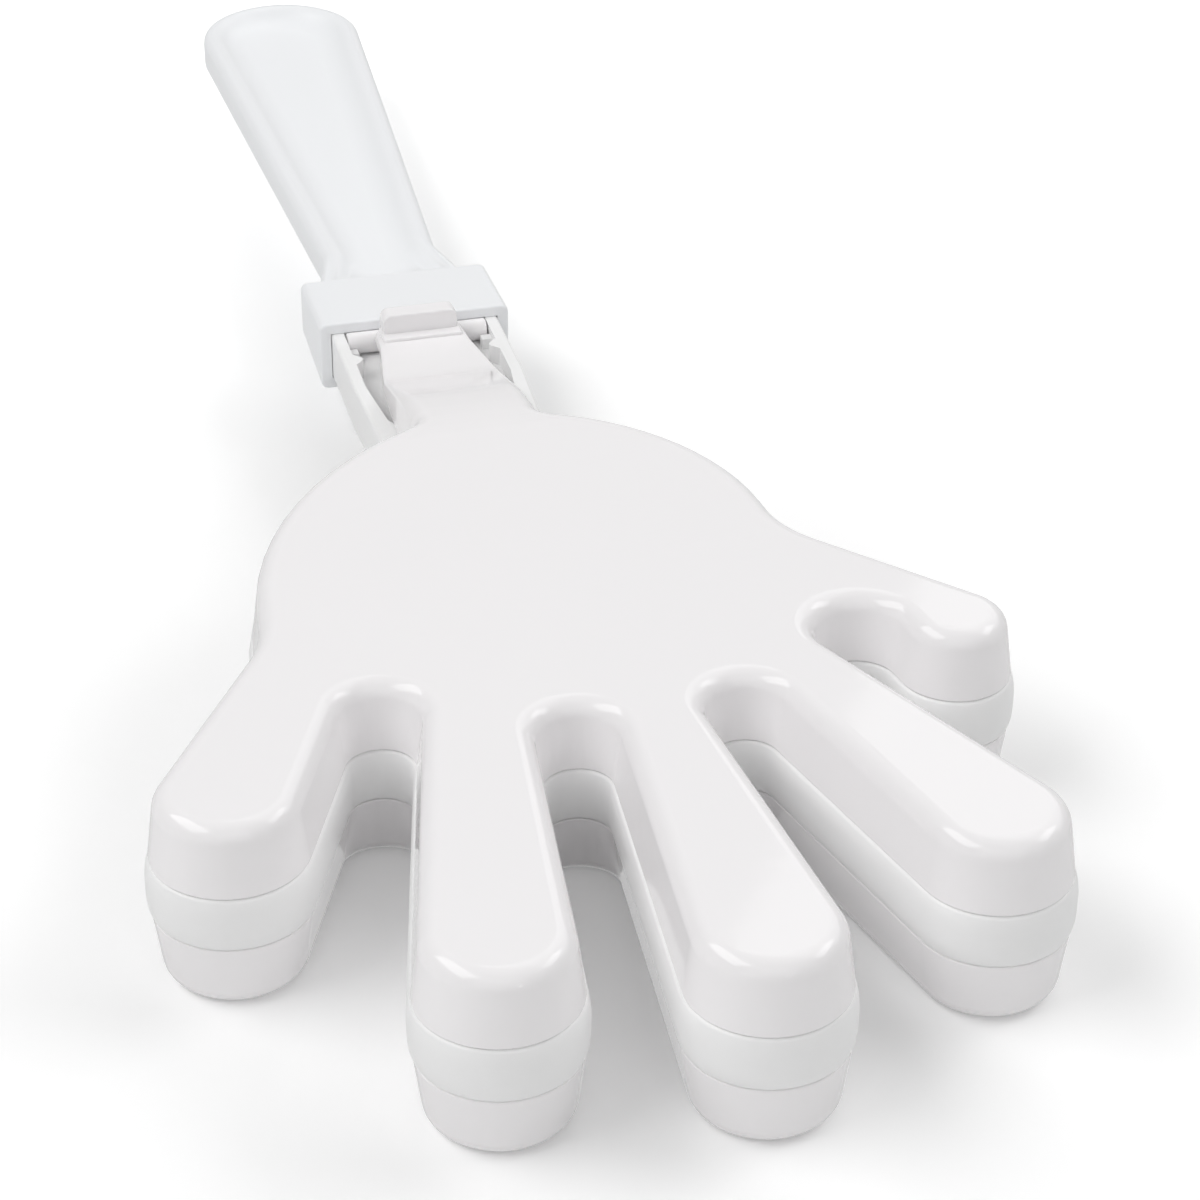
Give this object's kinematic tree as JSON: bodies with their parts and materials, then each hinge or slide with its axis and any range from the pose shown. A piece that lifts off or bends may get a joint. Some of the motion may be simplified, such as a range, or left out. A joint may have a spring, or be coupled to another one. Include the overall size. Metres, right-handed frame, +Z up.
{
  "type": "hand clapper",
  "caption": "Hand-shaped plastic clapper on a flat grip: hollow outer hands hinge at the collar and swing shut against a centre hand to make a clapping noise.",
  "frame": {"origin": "centre of the palm, on the flat outer face of the lower hand, which rests on the table", "axes": "+Y from the fingertips to the end of the grip, +X to the thumb side, +Z up, from the lower hand to the upper one"},
  "size_m": [0.1048, 0.2844, 0.0236],
  "materials": {
    "grip_plastic": "glossy moulded white, very slightly blue",
    "centre_plastic": "glossy moulded white",
    "outer_plastic": "glossy moulded white, very slightly warm"
  },
  "bodies": {
    "grip": {"handle": "grip_plastic", "centre_hand": "centre_plastic"},
    "upper": {"upper_hand": "outer_plastic"},
    "lower": {"lower_hand": "outer_plastic"}
  },
  "joints": [
    {"name": "upper_swing", "type": "hinge", "parent": "grip", "child": "upper", "pos_m": [0, 0.0674, 0.01405], "axis": [-1, 0, 0], "range_deg": [0, 29]},
    {"name": "lower_swing", "type": "hinge", "parent": "grip", "child": "lower", "pos_m": [0, 0.0674, 0.00955], "axis": [1, 0, 0], "range_deg": [0, 29]}
  ]
}
